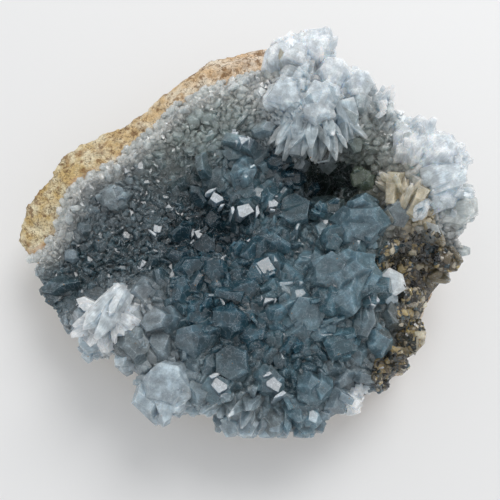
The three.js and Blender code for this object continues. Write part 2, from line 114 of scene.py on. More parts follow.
# Landmarks of the crystal face: x, y and height in mm, the usual crystal's width there in mm, its tint.
FACE = [
    (-59, -2, 20, 1.5, "grey"), (-49, 11, 29, 1.4, "frost"), (-36, 20, 33, 1.4, "frost"),
    (-19, 36, 35, 1.5, "mist"), (-3, 46, 36, 1.6, "rime"), (7, 45, 38, 2, "white"),
    (-51, -5, 21, 2.4, "smoke"), (-44, -12, 18, 2.6, "smoke"), (-40, 3, 24, 2.7, "smoke"),
    (-32, -5, 23, 3.2, "smoke"), (-37, 14, 28, 2.4, "frost"), (-27, 14, 24, 3, "smoke"),
    (-24, 26, 30, 2.4, "mist"), (-14, 32, 31, 2.7, "mist"), (-17, 18, 23, 3.6, "deep"),
    (-10, 5, 21, 5, "deep"), (-3, 37, 33, 2.4, "mist"), (-3, 23, 28, 7, "sky"),
    (4, 16, 27, 7, "blue"), (9, 20, 22, 6, "deep"), (21, 31, 40, 4, "pale"),
    # The dark mark at 23, 19 is painted shade in the hollow.
    (23, 19, 14, 3, "dark"), (13, 36, 41, 3.5, "milk"), (19, 50, 40, 3.5, "white"),
    (25, 42, 37, 3.5, "white"), (14, 30, 41, 4, "pale"), (32, 28, 35, 6, "olive"),
    (33, 22, 26, 5, "olive"), (39, 31, 38, 3.5, "white"), (45, 21, 39, 4, "white"),
    (53, 22, 35, 4, "white"), (48, 10, 34, 3.5, "milk"), (57, 7, 27, 4, "rime"),
    (39, 11, 31, 3, "tan"), (29, 6, 29, 8, "blue"), (22, -8, 30, 8.5, "blue"),
    (25, -15, 29, 8.5, "blue"), (15, -3, 24, 4, "sky"), (3, -6, 27, 7.5, "teal"),
    (-8, -12, 27, 7.5, "teal"), (-18, -20, 26, 7.5, "teal"), (0, -20, 28, 7.5, "teal"),
    (13, -20, 29, 8.5, "sky"), (12, -27, 25, 7.5, "teal"), (25, -27, 26, 7.5, "teal"),
    (34, -23, 25, 5, "grey"), (42, -5, 22, 1.9, "brown"), (46, -10, 18, 1.9, "brown"),
    (40, -23, 19, 1.8, "brown"), (36, -31, 18, 1.9, "brown"), (-5, -27, 27, 7.5, "deep"),
    (2, -35, 25, 8, "blue"), (16, -36, 23, 8, "teal"), (25, -38, 20, 3, "pale"),
    (-33, -21, 29, 6, "white"), (-40, -24, 24, 4, "pale"), (-28, -26, 24, 6, "grey"),
    (-20, -36, 25, 8, "pale"), (-7, -36, 25, 7, "sky"), (0, -42, 19, 6, "pale"),
]
LANDMARK_REACH = 6  # mm, over which a landmark fades into the next
LEAST_WEIGHT = 1e-12  # so that a point far from all landmarks has a blend too
SLOPE_STEP = 1.5 * MM  # over which the face's slope is measured

# Where the crust meets the stone's bare side, whose frosting whitens the crystals: x, y in mm.
RIME_LINE = [
    (-60, -1), (-54, 1), (-50, 7), (-49, 11), (-46, 17), (-36, 22), (-30, 28),
    (-24, 33), (-19, 38), (-12, 42), (-3, 46), (4, 49), (9, 52),
]
RIME_REACH = 5  # mm, over which the frosting fades out
RIME_AT_LINE = 1.15  # its share where it starts, held to the most
RIME_MOST = 0.85

# Hollows of the face: x, y, reach and depth in mm.
HOLLOWS = [(19, 23, 3.5, 9), (25, 22, 3.5, 7), (14, -2, 3, 4), (-8, 5, 5, 3)]

# The large crystals, where the solid has them: x, y, width and length in mm, form, lean, the way it leans
# and its turn in degrees, tint.
LARGE = [
    (29, 6, 12, 11, "block", 12, 215, 20, "sky"), (24, -9, 14, 13, "block", 10, 300, 65, "sky"),
    (20, -14, 9, 11, "block", 18, 250, 10, "blue"), (29, -12, 9, 11, "wedge", 20, 320, 80, "blue"),
    (15, -5, 7, 9, "wedge", 48, 170, 30, "sky"), (22, 2, 7, 9, "wedge", 28, 110, 15, "blue"),
    (36, -9, 7, 10, "table", 12, 330, 10, "milk"), (36, -13, 4.5, 7, "block", 20, 250, 40, "pale"),
    (14, -18, 9, 8, "table", 15, 260, 30, "sky"), (5, -14, 7, 9, "wedge", 26, 200, 20, "blue"),
    (-2, 20, 7, 9, "block", 16, 60, 30, "sky"), (5, 14, 8, 9, "wedge", 30, 280, 75, "blue"),
    (-8, 14, 5, 7, "wedge", 20, 210, 0, "deep"), (-10, 10, 5.5, 7, "block", 18, 240, 50, "deep"),
    (-1, 9, 5, 7, "wedge", 16, 100, 35, "deep"), (6, 10, 5, 7, "wedge", 30, 20, 60, "deep"),
    (8, 24, 6, 8, "plate", 34, 330, 20, "deep"), (11, 20, 6, 8, "block", 24, 300, 5, "deep"),
    # The dark crystal at 27, 17 is painted shade in the hollow.
    (17, 19, 5, 7, "wedge", 30, 250, 40, "deep"), (27, 17, 6, 8, "wedge", 32, 190, 70, "dark"),
    (31, 20, 6, 8, "block", 36, 210, 10, "olive"), (12, 28, 7, 11, "wedge", 104, 262, 0, "pale"),
    (19, 28, 7, 12, "wedge", 102, 275, 30, "pale"), (25, 32, 6, 11, "wedge", 108, 285, 60, "pale"),
    (38, 8, 7, 8, "block", 24, 240, 25, "grey"), (38, 14, 9, 11, "plate", 46, 215, 80, "tan"),
    (43, 10, 9, 11, "plate", 40, 225, 60, "tan"), (-2, -1, 6, 8, "wedge", 24, 140, 45, "teal"),
    (-9, -7, 7, 8, "block", 18, 100, 0, "teal"), (3, -7, 7, 8, "block", 14, 40, 30, "teal"),
    (-12, -18, 7, 8, "block", 20, 200, 70, "teal"), (1, -23, 7, 8, "wedge", 22, 300, 15, "teal"),
    (10, -25, 6, 8, "wedge", 24, 240, 50, "teal"), (22, -25, 8, 9, "block", 22, 280, 20, "blue"),
    (32, -24, 7, 8, "block", 18, 300, 60, "sky"), (5, -34, 7, 9, "block", 24, 270, 0, "sky"),
    (-8, -36, 7, 9, "table", 10, 250, 15, "sky"), (-20, -35, 12, 12, "block", 22, 235, 75, "pale"),
    (-33, -21, 9, 11, "wedge", 34, 140, 40, "white"), (-38, -24, 8, 10, "wedge", 40, 190, 60, "pale"),
    (-29, -25, 9, 10, "block", 26, 270, 30, "grey"), (-34, -11, 4.5, 6, "wedge", 24, 90, 10, "pale"),
    (-36, 13, 7, 7, "block", 14, 200, 20, "grey"), (-47, -1, 4, 5, "block", 22, 200, 0, "frost"),
    (15, -36, 8, 10, "block", 34, 275, 50, "sky"), (54, 9, 8, 10, "block", 50, 350, 15, "rime"),
    (50, 16, 9, 10, "plate", 50, 10, 70, "milk"), (11, 50, 11, 10, "block", 14, 120, 30, "white"),
    (17, 52, 10, 9, "block", 22, 80, 10, "white"), (9, 37, 8, 9, "block", 18, 170, 60, "milk"),
    (18, 36, 9, 9, "block", 30, 280, 20, "milk"), (43, 25, 10, 9, "block", 22, 60, 40, "white"),
    (49, 22, 10, 9, "block", 30, 30, 10, "white"), (50, 12, 8, 8, "block", 24, 330, 60, "milk"),
    (-1, -43, 6, 9, "wedge", 64, 270, 0, "pale"), (6, -43, 6, 9, "wedge", 62, 272, 40, "grey"),
    (13, -42, 6, 10, "wedge", 64, 288, 20, "sky"),
]
LARGE_GROWTH = 1.06  # how much larger than in the solid, whose faces they cover
CLEAN_TINTS = ("pale", "tan")  # of those that have no smaller ones in step with them
CROWNED = 4.4 * MM  # half the width from which they end in sloping faces
CROWN_WIDTH = 1.06  # of those faces, in the crystal's own
CROWN_RISE = 0.16  # in half its length
CROWN_WANDER = 0.1  # radians

# The smaller crystals in step with a larger one, in shares of its half sizes.
PARALLELS = 5  # on a large crystal
PARALLEL_FORMS = ("ridge", "cap", "wedge")
PARALLEL_WIDTHS = (0.4, 0.75)
PARALLEL_LENGTHS = (0.75, 1)
PARALLEL_ASIDE = (0.4, 0.75)
PARALLEL_RISE = 0.25  # at most, up or down
PARALLEL_WANDER = 0.12  # radians

# Fans of thin crystals: their root's x, y and z, a crystal's width and length in mm, how many they are, the
# fan's lean, the way it leans and its spread in degrees, tint.
FANS = [
    (38.7, 7.2, 32, 2.6, 10, 16, 70, 62, 20, "tan"), (38.6, 12.7, 32.5, 2.6, 8, 12, 62, 147, 18, "tan"),
    (44.7, 9.5, 34, 3, 8, 12, 72, 236, 14, "milk"), (-31, -12, 29.8, 4.8, 16, 26, 80, 240, 14, "milk"),
    (-34, -18, 27.5, 5, 12, 20, 76, 232, 28, "white"), (-29, -24, 25, 5, 10, 6, 78, 265, 18, "pale"),
    (-6, -37, 24, 4, 10, 8, 68, 262, 24, "grey"), (1, -37, 23, 4, 11, 9, 72, 268, 26, "grey"),
    (9, -38, 22, 4, 10, 8, 72, 285, 24, "sky"), (-19, -36, 24, 9, 11, 4, 70, 250, 16, "pale"),
    (48, -6, 20, 4, 6, 5, 80, 335, 26, "umber"), (11, 48, 38, 7, 9, 9, 30, 110, 36, "white"),
    (18, 50, 38, 7, 9, 9, 34, 60, 36, "white"), (43, 26, 36, 5.5, 9, 12, 30, 50, 36, "white"),
    (50, 20, 33, 5.5, 9, 12, 40, 15, 36, "white"), (51, 11, 30, 5, 9, 10, 50, 340, 36, "milk"),
    (27, 40, 34, 4, 8, 12, 30, 45, 40, "white"), (35, 36, 34, 4, 8, 12, 30, 45, 40, "white"),
    (14, 42, 38, 5, 8, 9, 24, 200, 36, "milk"), (11, 31, 38, 3, 11, 12, 104, 256, 18, "pale"),
    (16, 31, 38, 3.4, 12, 10, 98, 268, 16, "pale"), (20, 31, 38, 3, 12, 12, 102, 278, 16, "pale"),
    (24, 33, 37, 3, 11, 10, 104, 288, 18, "pale"), (24, -14, 25, 5, 12, 14, 28, 85, 12, "sky"),
    (19.5, 10.5, 24, 4, 7, 10, 15, 200, 35, "blue"),
]
FAN_WIDTHS = (0.6, 1.1)  # of each crystal, in the fan's
FAN_LENGTHS = (0.6, 1.05)

# Patches of another tint: x, y, reach in mm, tint.
SPOTS = [
    (2, 46, 4, "milk"), (6, 43, 3.5, "milk"), (-4, 44, 2.5, "rime"), (12, 31, 5, "pale"),
    # The two dark patches by the hollow, at 19, 21.5 and 25, 21, are painted shade.
    (20, 33, 5, "pale"), (13, 39, 5, "milk"), (20, 41, 4, "white"), (19, 21.5, 4.5, "dark"),
    (25, 21, 4.5, "dark"), (24, 47, 5, "white"), (10, 52, 5, "white"), (5, 47, 4, "rime"),
    (44, -13, 1.2, "ochre"), (40, -21, 1.6, "ochre"), (37, -27, 1.8, "ochre"),
    (43, -18, 1.4, "grey"), (33, -33, 2, "ochre"), (8, 49.5, 2.2, "ochre"), (45, -20, 1.4, "ochre"),
    (43, -24, 1.2, "tan"), (39, -27, 1.5, "tan"), (50, -3, 3.5, "umber"), (48, -10, 2.5, "umber"),
    (41, 5, 2.2, "tan"), (29, 6, 6, "sky"), (45, 6, 2.5, "tan"), (27.5, -38.5, 3.5, "white"),
    (38, -34, 1.6, "ochre"),
]

# Groups of small faces that mirror the window: x, y, width in mm.
GLINTS = [
    (-9.1, 13.2, 3.2), (-1.6, 9.2, 4.2), (5.8, 11.2, 2.6), (-13.5, 5.2, 2.8), (0.5, 1.6, 2.4),
    (-24.9, 5.9, 2.6), (-28.2, -3.7, 2.2), (-18, 1.6, 1.6), (-7.4, -35.9, 3.4), (5.5, -35.6, 3.6),
    (-12.8, -36.9, 2.6), (-10.9, -34, 2.2), (-17, -36, 1.8), (19, -9.2, 1.6), (21.1, -11.8, 1.6),
    (3, -10.7, 1.8), (20.5, 6.5, 2.4), (15, 18, 1.8), (13, 33, 1.8), (29.9, -15.4, 2.4),
    (4.4, -15.2, 2.2), (-33, 20, 1.8), (-40, 12, 1.6), (-44, -15, 1.8), (-36, -10, 1.6),
    (-22, 12, 1.5), (-2, 26, 2.2), (-4, 29, 1.6),
]
GLINT_PIECES = [(0, 0.7, 0.62), (-0.8, 0.16, 0.5), (0.76, 0.13, 0.35)]  # aside, half sizes, in widths
WHOLE_GLINT = 2.3  # mm, the width under which their faces are triangles
GLINT_SIZES = (0.85, 1.1)
GLINT_LIFT = 0.05  # in widths
GLINT_WANDER = 0.02  # radians

# The growth of the small crystals. A pair is a least and a most.
SAMPLES = 90000  # points thrown on the crust
LEAST_WIDTH = 0.7  # in grains
WIDTH_RANGE = 1.3  # from the narrowest to the widest, in grains
WIDTH_SKEW = 3  # how few of them are wide
LENGTHS = (0.8, 1.2)  # in widths
SLIMNESS = (0.6, 1)  # their second width, in the first
PROUD_SHARE = 0.06  # of the points on a large crystal that still get a small one
BROKEN_PROUD_SHARE = 0.5  # the same where the crust is broken
SPACING = 0.48  # between neighbours, in mean widths
STEEP_SHRINK = 0.5  # how much narrower they are where the crust faces sideways
STEEP_SINK = 0.25  # how much deeper they stand there, in lengths
SINK = 0.2  # how deep their middles are in the crust, in lengths
UPWARD = 0.5  # how strongly they lean to the upright
GROWN_WANDER = 0.22
BROKEN_WANDER = 0.4
COARSE = 2.2 * MM  # crystals at least this wide have smaller ones in step with them
COARSE_PARALLELS = (1, 2)
STONE_CLEARANCE = 0.8 * MM
COARSE_GLINTS = 0.01  # the share of the crystals whose flat end mirrors the window
BROKEN_GLINTS = 0.14
FINE_GLINTS = 0.07
WIDEST_GLINT = 2.6 * MM
STEEPEST_GLINT = 0.5
RUBBLE_WIDTH = 1.9 * MM  # at most, of the crystals of the brown part
BED_DEPTH = 1.5 * MM  # how far below the crystal face the crust still counts as its bed
BED_RISE = 0.13  # of the coarse crystals over the face, in grains, so that they reach the solid's tips
FILL_FROM = 3.4 * MM  # the usual crystal's width over which the gaps are filled
FILL_SHARE = 0.54  # the width of the crystals in the gaps, in the coarse ones'
FILL_LIFT = -0.12  # of their middles over the crystal face, in grains

# The fine frosted crystals that spill over the stone's lip.
FRINGE_COUNT = 900
FRINGE_REACH = 4  # mm, from where they start
FRINGE_START = 1.2  # mm, inside the crust's rim
FRINGE_SKEW = 1.6  # how few of them are far out
FRINGE_WIDTHS = (0.8, 2)  # mm
FRINGE_LIFT = 0.2  # in widths
FRINGE_WANDER = 0.3

# How much lighter or darker the crystals of a kind are than their tint.
TINT_SPREADS = {"large": 0.06, "parallel": 0.06, "crown": 0.06, "bed": 0.08, "fringe": 0.1, "fan": 0.12}

# The stone's broken side: ledges, lumps and pits, their lengths and depths in mm.
STONE_VOXEL = 0.62 * MM
FOOT_HEIGHT = 0.4 * MM  # of the stone's flat foot, which stays flat
STONE_FROST_REACH = 4  # mm, from the crust's rim
LEDGE_HEIGHT = 4.2
LEDGE_SWAY = 0.9  # in ledge heights
SWAY_LENGTH = 7
LEDGE_DEPTH = 0.9
LUMP_LENGTH = 6
LUMP_FRACTAL = (0.8, 2.1, 5)
LUMP_DEPTH = 0.9
PIT_LENGTH = 2.1
PIT_SHIFT = Vector((7, 3, 1))
PIT_START = 0.22  # the noise over which there is a pit
PIT_DEPTH = 2.2

# The forms of a crystal 2 wide and 2 long about its middle: an upright prism closed by sloping domes and
# a flat, and how irregular it is. Prism faces are (direction, distance), domes (direction, rise, distance).
FORMS = {
    "block": (
        [(0, 0.92), (52, 0.86), (128, 0.86), (180, 0.92), (232, 0.86), (308, 0.86)],
        [(0, 50, 0.98), (90, 46, 0.92), (180, 50, 0.98), (270, 46, 0.92)], 0.86, 4,
    ),
    "wedge": (
        [(52, 0.74), (128, 0.74), (232, 0.74), (308, 0.74)],
        [(0, 42, 0.94), (90, 36, 0.68), (180, 42, 0.94), (270, 36, 0.68)], 0.95, 4,
    ),
    "plate": (
        [(0, 0.95), (90, 0.38), (180, 0.95), (270, 0.38)],
        [(0, 44, 0.98), (90, 22, 0.46), (180, 36, 1.02)], 0.95, 4,
    ),
    "table": (
        [(0, 0.9), (60, 0.86), (120, 0.9), (180, 0.84), (240, 0.9), (300, 0.86)],
        [(0, 38, 1.08), (120, 38, 1.04), (240, 38, 1.06)], 0.7, 10,
    ),
    "cap": (
        [(0, 1.0), (62, 0.96), (118, 1.0), (180, 0.97), (242, 1.0), (298, 0.96)],
        [(20, 58, 0.86), (85, 44, 0.86), (150, 62, 0.84), (215, 46, 0.88), (290, 56, 0.85)], 0.9, 14,
    ),
    "ridge": (
        [(0, 1.0), (60, 0.95), (120, 0.95), (180, 1.0), (240, 0.95), (300, 0.95)],
        [(0, 40, 0.95), (90, 56, 0.76), (180, 46, 0.92), (270, 60, 0.78)], 0.95, 12,
    ),
    "shard": (
        [(0, 0.8), (75, 0.7), (140, 0.85), (215, 0.75), (290, 0.8)],
        [(20, 40, 0.8), (110, 55, 0.8), (190, 35, 0.85), (280, 50, 0.75)], 0.85, 20,
    ),
    "flake": ([(0, 0.7), (70, 0.95), (130, 0.6), (205, 0.85), (285, 0.7)], [], 0.35, 16),
    "chip": ([(0, 0.5), (125, 0.55), (240, 0.5)], [], 0.35, 14),
    "blade": (
        [(0, 0.95), (90, 0.4), (180, 0.95), (270, 0.4)],
        [(0, 32, 0.78), (180, 40, 0.84), (90, 50, 0.72), (270, 56, 0.74)], 0.98, 12,
    ),
}
FORM_SHAPES = 6  # irregular ones of each form
FORM_BLANK = 6  # the side of the cube that they are cut from
FORM_FOOT = 0.8  # how far below the middle they end
FORM_DISTANCES = (0.9, 1.08)  # of their faces, in the form's

# How often a form occurs where the crust is whole and where it is broken, and each tint in the brown part.
GROWN = {"cap": 4, "ridge": 5, "wedge": 2, "plate": 0.6}
BROKEN = {"shard": 6, "blade": 4, "cap": 1}
BROKEN_TINTS = ("white", "milk", "tan", "ochre", "pale")
RUBBLE = {"brown": 4, "black": 2, "smoke": 2, "ochre": 3, "tan": 2, "umber": 3}

# Joining the crystals.
SAME_CORNER = 1e-7
SAME_FACE = 0.02 * MM

# Celestite: glassy, milky inside, and clear in part. Colours are in the renderer's linear values.
CELESTITE = {
    "IOR": 1.62, "Subsurface Weight": 1, "Subsurface Radius": (1, 1.15, 1.3), "Subsurface Scale": 5 * MM,
}
ABSORBED_TO = (0.52, 0.68, 0.76, 1)
ABSORPTION = 220  # per metre
VEIL_COLOUR = (0.45, 0.52, 0.57, 1)
# The edge colour lightens patches along the crystals' edges: partly frost on chipped edges, partly painted
# highlight where edges catch the light.
EDGE_FROST_AND_HIGHLIGHT_COLOUR = (0.55, 0.61, 0.66, 1)
DUST_COLOUR = (0.6, 0.66, 0.7, 1)
RUST_COLOUR = (150, 110, 60)  # 0 to 255 as seen
# How far from an edge that lightening reaches, frost and painted highlight alike.
EDGE_FROST_AND_HIGHLIGHT_REACH = 0.09 * MM
EDGE_MATCHES = (0.99, 0.86)  # of the flat and the rounded normal, where an edge starts and on it
COARSE_ROUNDING = 0.25 * MM  # of the crystals' edges
FINE_ROUNDING = 0.05 * MM
BEVEL_SAMPLES = 4

# Noises by name: the size of their patches in mm, and their detail. A crystal's follow its axes.
CRUST_NOISES = {
    "clouds": ((2.2, 2.2, 2.2), 4), "specks": ((0.28, 0.28, 0.28), 2),
    "banks": ((6, 6, 6), 3), "patches": ((0.9, 0.9, 0.9), 2),
}
CRYSTAL_NOISES = {
    "streaks": ((0.35, 0.35, 2.2), 4), "veils": ((1.6, 1.6, 3), 2), "etching": ((0.5, 0.5, 0.9), 3),
}
CLOUDING = {  # what they multiply the tint by at least and at most, and from which to which value
    "clouds": (0.78, 1.25, 0.3, 0.7), "banks": (0.85, 1.2, 0.35, 0.65), "streaks": (0.85, 1.16, 0.3, 0.7),
}
STONE_NOISES = {
    "patches": ((4, 4, 4), 6), "stains": ((1.8, 1.8, 1.2), 6), "grains": ((0.45, 0.45, 0.45), 4),
    "layers": ((6, 6, 0.8), 6), "cracks": ((3.4, 3.4, 1.6), 7),
}

# The stone's colours, 0 to 255 as seen.
STONE_COLOURS = {
    "cream": (220, 208, 174), "pink cream": (224, 209, 190), "ochre": (194, 168, 116),
    "pink ochre": (214, 184, 150), "stain": (128, 98, 66), "layer": (146, 112, 74),
    "crack": (104, 78, 52), "rust": (196, 142, 74), "frosting": (206, 202, 192),
}
YELLOW_END = -50 * MM  # where the stone is yellowest, along its length
PINK_START = 0


@dataclass
class Crystal:
    """A crystal: its middle, its axes, its half sizes, the name of its form and its tint."""

    place: Vector
    turn: Matrix
    half: Vector
    form: str
    tint: np.ndarray

    def keep_inside(self, low, high):
        """Moves it in where it would stand out of a box."""
        for axis in range(3):
            reach = math.hypot(*(self.turn[axis][i] * self.half[i] for i in range(3)))
            self.place[axis] = min(max(self.place[axis], low[axis] + reach), high[axis] - reach)

    def matrix(self):
        """What takes a mesh of its form to its place and size."""
        return Matrix.Translation(self.place) @ self.turn.to_4x4() @ Matrix.Diagonal((*self.half, 1))


def mesh_from(bm, name):
    """An editing mesh made into a plain one."""
    mesh = bpy.data.meshes.new(name)
    bm.to_mesh(mesh)
    bm.free()
    return mesh


def new_object(name, data):
    """A new object in the scene."""
    item = bpy.data.objects.new(name, data)
    bpy.context.scene.collection.objects.link(item)
    return item


def crystal_mesh(name, form, chance):
    """One crystal of a form, as a closed convex mesh."""
    prism, domes, flat, wander = FORMS[form]
    planes = [(UP, flat), (DOWN, FORM_FOOT)]
    for direction, rise, distance in [(a, 0, d) for a, d in prism] + domes:
        around = math.radians(direction + chance.uniform(-wander, wander))
        up = math.radians(rise + chance.uniform(-wander, wander) / 2)
        normal = Vector((math.cos(up) * math.cos(around), math.cos(up) * math.sin(around), math.sin(up)))
        planes.append((normal, distance * chance.uniform(*FORM_DISTANCES)))
    bm = bmesh.new()
    bmesh.ops.create_cube(bm, size=FORM_BLANK)
    for normal, distance in planes:
        whole = bm.verts[:] + bm.edges[:] + bm.faces[:]
        cut = bmesh.ops.bisect_plane(
            bm, geom=whole, plane_co=normal * distance, plane_no=normal, clear_outer=True
        )
        rim = [e for e in cut["geom_cut"] if isinstance(e, bmesh.types.BMEdge)]
        if rim:
            bmesh.ops.contextual_create(bm, geom=rim)
    bmesh.ops.recalc_face_normals(bm, faces=bm.faces)
    return mesh_from(bm, name)


def seen(rgb):
    """A colour given 0 to 255 as seen, in the renderer's linear values."""
    return tuple((c / 255) ** 2.2 for c in rgb)


def linear_tint(name):
    """A tint's linear colour, and how clear it is."""
    return np.array((*seen(TINTS[name][0]), TINTS[name][1]))


def varied(tint, kind, chance):
    """A tint made a little lighter or darker, as a kind of crystal is, and as clear as before."""
    return tint * np.array((*[math.exp(chance.gauss(0, TINT_SPREADS[kind]))] * 3, 1))


def face_blend(points):
    """Height, grain and tint of the crystal face at points of the plan, and the nearest mark's tint."""
    marks = np.array([row[:4] for row in FACE])
    tints = np.array([linear_tint(row[4]) for row in FACE])
    across = points[:, None, 0] / MM - marks[None, :, 0]
    along = points[:, None, 1] / MM - marks[None, :, 1]
    gap = across**2 + along**2
    weight = np.exp(-gap / (2 * LANDMARK_REACH**2)) + LEAST_WEIGHT
    weight /= weight.sum(1, keepdims=True)
    tint = weight @ tints
    zone = np.array([row[4] for row in FACE])[gap.argmin(1)]
    for x, y, reach, name in SPOTS:
        inside = np.hypot(points[:, 0] / MM - x, points[:, 1] / MM - y) < reach
        tint[inside] = linear_tint(name)
    height = weight @ marks[:, 2]
    for x, y, reach, depth in HOLLOWS:
        away = (points[:, 0] / MM - x) ** 2 + (points[:, 1] / MM - y) ** 2
        height -= depth * np.exp(-away / (2 * reach**2))
    return height * MM, weight @ marks[:, 3] * MM, tint, zone


def face_normals(points):
    """Which way the smooth crystal face looks at points of the plan."""
    slopes = []
    for axis in (0, 1):
        shift = np.zeros(3)
        shift[axis] = SLOPE_STEP
        fall = face_blend(points - shift)[0] - face_blend(points + shift)[0]
        slopes.append(fall / (2 * SLOPE_STEP))
    out = np.stack([*slopes, np.ones(len(points))], axis=1)
    return out / np.linalg.norm(out, axis=1, keepdims=True)


def rim_distance(points):
    """How far points are in plan from where the crust meets the stone's bare side, in mm."""
    plan = points[:, :2] / MM
    line = np.array(RIME_LINE)
    gaps = np.full(len(plan), np.inf)
    for start, end in zip(line, line[1:]):
        step = end - start
        along = np.clip((plan - start) @ step / (step @ step), 0, 1)
        gaps = np.minimum(gaps, np.linalg.norm(plan - start - along[:, None] * step, axis=1))
    return gaps


def rimed(tints, points):
    """The tints whitened by frosting near the stone's bare side."""
    share = np.clip(RIME_AT_LINE - rim_distance(points) / RIME_REACH, 0, RIME_MOST)[:, None]
    return tints * (1 - share) + linear_tint("rime") * share


def corners_of(mesh):
    """The places of a mesh's corners."""
    return np.array([v.co for v in mesh.vertices])


def surface_samples(mesh, count, generator):
    """Points spread evenly over a mesh of triangles, and its normal at each."""
    mesh.calc_loop_triangles()
    corners = corners_of(mesh)
    triangles = np.array([t.vertices for t in mesh.loop_triangles])
    a, b, c = (corners[triangles[:, i]] for i in range(3))
    cross = np.cross(b - a, c - a)
    double_area = np.linalg.norm(cross, axis=1)
    pick = generator.choice(len(triangles), count, p=double_area / double_area.sum())
    u, v = generator.random((2, count))
    fold = u + v > 1
    u[fold], v[fold] = 1 - u[fold], 1 - v[fold]
    points = a[pick] + (b - a)[pick] * u[:, None] + (c - a)[pick] * v[:, None]
    return points, (cross / double_area[:, None])[pick]


def mirror_normal(place):
    """The way a crystal face at a place looks when it mirrors the window to the camera."""
    to_camera = (CAMERA_PLACE - place).normalized()
    to_window = (WINDOW_PLACE - place).normalized()
    return (to_camera + to_window).normalized()


def turned_to(out, spin):
    """Axes whose third is out, turned round it by spin."""
    upright = UP.rotation_difference(out).to_matrix()
    return upright @ Matrix.Rotation(spin, 3, "Z")


def strayed(normal, spread, upward, chance):
    """A way to grow that strays from a normal, mostly to the upright."""
    stray = Vector((chance.gauss(0, spread), chance.gauss(0, spread), chance.gauss(upward, spread)))
    return (normal + stray).normalized()


def solid_tree(node):
    """The faces of one of the part's solids, for finding the nearest."""
    mesh = frame["nodes"][node].data
    return BVHTree.FromPolygons([v.co for v in mesh.vertices], [p.vertices for p in mesh.polygons])


def spaced(points, widths, allowed):
    """Which of the points to keep, in their order, so that none is too near another kept one."""
    tree = KDTree(len(points))
    for i, point in enumerate(points):
        tree.insert(point, i)
    tree.balance()
    widest = widths.max()
    free = allowed.copy()
    kept = []
    for i, point in enumerate(points):
        if not free[i]:
            continue
        kept.append(i)
        for _, other, gap in tree.find_range(point, (widths[i] + widest) / 2 * SPACING):
            if gap < (widths[i] + widths[other]) / 2 * SPACING:
                free[other] = False
    return kept


def on_large(points):
    """Whether each point is on one of the large crystals, which stay mostly clean."""
    proud = np.zeros(len(points), bool)
    for x, y, width, *_ in LARGE:
        away = np.hypot(points[:, 0] - x * MM, points[:, 1] - y * MM)
        proud |= away < LARGE_GROWTH * width * MM / 2
    return proud


def clear_of_stone(points):
    """Whether each point is far enough from the stone for a crystal to stand there."""
    tree = solid_tree("limestone_matrix")
    return np.array([tree.find_nearest(Vector(p), STONE_CLEARANCE)[0] is None for p in points])


def bed_spots(chance, seed, share):
    """Where the small crystals stand: place, normal, width, grain, steepness, tint and zone of each."""
    generator = np.random.default_rng(seed)
    points, normals = surface_samples(frame["nodes"]["celestite_crust"].data, SAMPLES, generator)
    height, grain, tint, zone = face_blend(points)
    broken = np.isin(zone, BROKEN_TINTS)
    rubble = zone == "brown"
    grain[rubble] = np.minimum(grain[rubble], RUBBLE_WIDTH)
    bed = (grain > COARSE) & (points[:, 2] > height - BED_DEPTH)
    points[bed, 2] = height[bed] + BED_RISE * grain[bed]
    normals[bed] = face_normals(points[bed])
    steep = 1 - np.maximum(0, normals[:, 2])
    sizes = LEAST_WIDTH + WIDTH_RANGE * generator.random(SAMPLES) ** WIDTH_SKEW
    widths = grain * share * sizes * (1 - STEEP_SHRINK * steep)
    spared = np.where(broken, BROKEN_PROUD_SHARE, PROUD_SHARE) * ~rubble
    allowed = (~on_large(points) | (generator.random(SAMPLES) < spared)) & clear_of_stone(points)
    if share < 1:
        allowed &= (grain > FILL_FROM) & ~broken
    tint = rimed(tint, points)
    for i in np.flatnonzero(rubble):
        tint[i] = linear_tint(chance.choices(list(RUBBLE), weights=RUBBLE.values())[0])
    columns = (points, normals, widths, grain, steep, tint, zone)
    return [[column[i] for column in columns] for i in spaced(points, widths, allowed)]


def glint_share(broken, width):
    """How many of the crystals of a width mirror the window."""
    if broken:
        return BROKEN_GLINTS
    return COARSE_GLINTS if width > COARSE else FINE_GLINTS


def bed_crystals(chance, seed, share=1.0):
    """Small crystals that cover the crust, spaced by the grain, or smaller ones to fill its coarse part."""
    for point, normal, width, grain, steep, tint, zone in bed_spots(chance, seed, share):
        point, normal = Vector(point), Vector(normal)
        broken = zone in BROKEN_TINTS
        habit = BROKEN if broken else GROWN
        form = chance.choices(list(habit), weights=habit.values())[0]
        out = strayed(normal, BROKEN_WANDER if broken else GROWN_WANDER, UPWARD, chance)
        if chance.random() < glint_share(broken, width) and steep < STEEPEST_GLINT:
            out = mirror_normal(point)
            form = "chip"
            width = min(width, WIDEST_GLINT)
        length = width * chance.uniform(*LENGTHS)
        lift = FILL_LIFT * grain if share < 1 else -SINK * length
        slim = chance.uniform(*SLIMNESS)
        yield Crystal(
            point + normal * (lift - STEEP_SINK * length * steep),
            turned_to(out, chance.uniform(0, math.tau)),
            Vector((width, width * slim, length)) / 2,
            form,
            varied(tint, "bed", chance),
        )


def large_crystals(chance):
    """The solid's large crystals, each with its tint."""
    middles = np.array([row[:2] for row in LARGE]) * MM
    heights = face_blend(middles)[0]
    for row, height in zip(LARGE, heights):
        x, y, width, length, form, lean, towards, spin, name = row
        leaned = Matrix.Rotation(math.radians(lean), 3, "Y")
        out = Matrix.Rotation(math.radians(towards), 3, "Z") @ leaned
        yield Crystal(
            Vector((x * MM, y * MM, height)),
            turned_to(out @ UP, math.radians(spin)),
            Vector((width, width, length)) * MM * LARGE_GROWTH / 2,
            form,
            varied(linear_tint(name), "large", chance),
        )


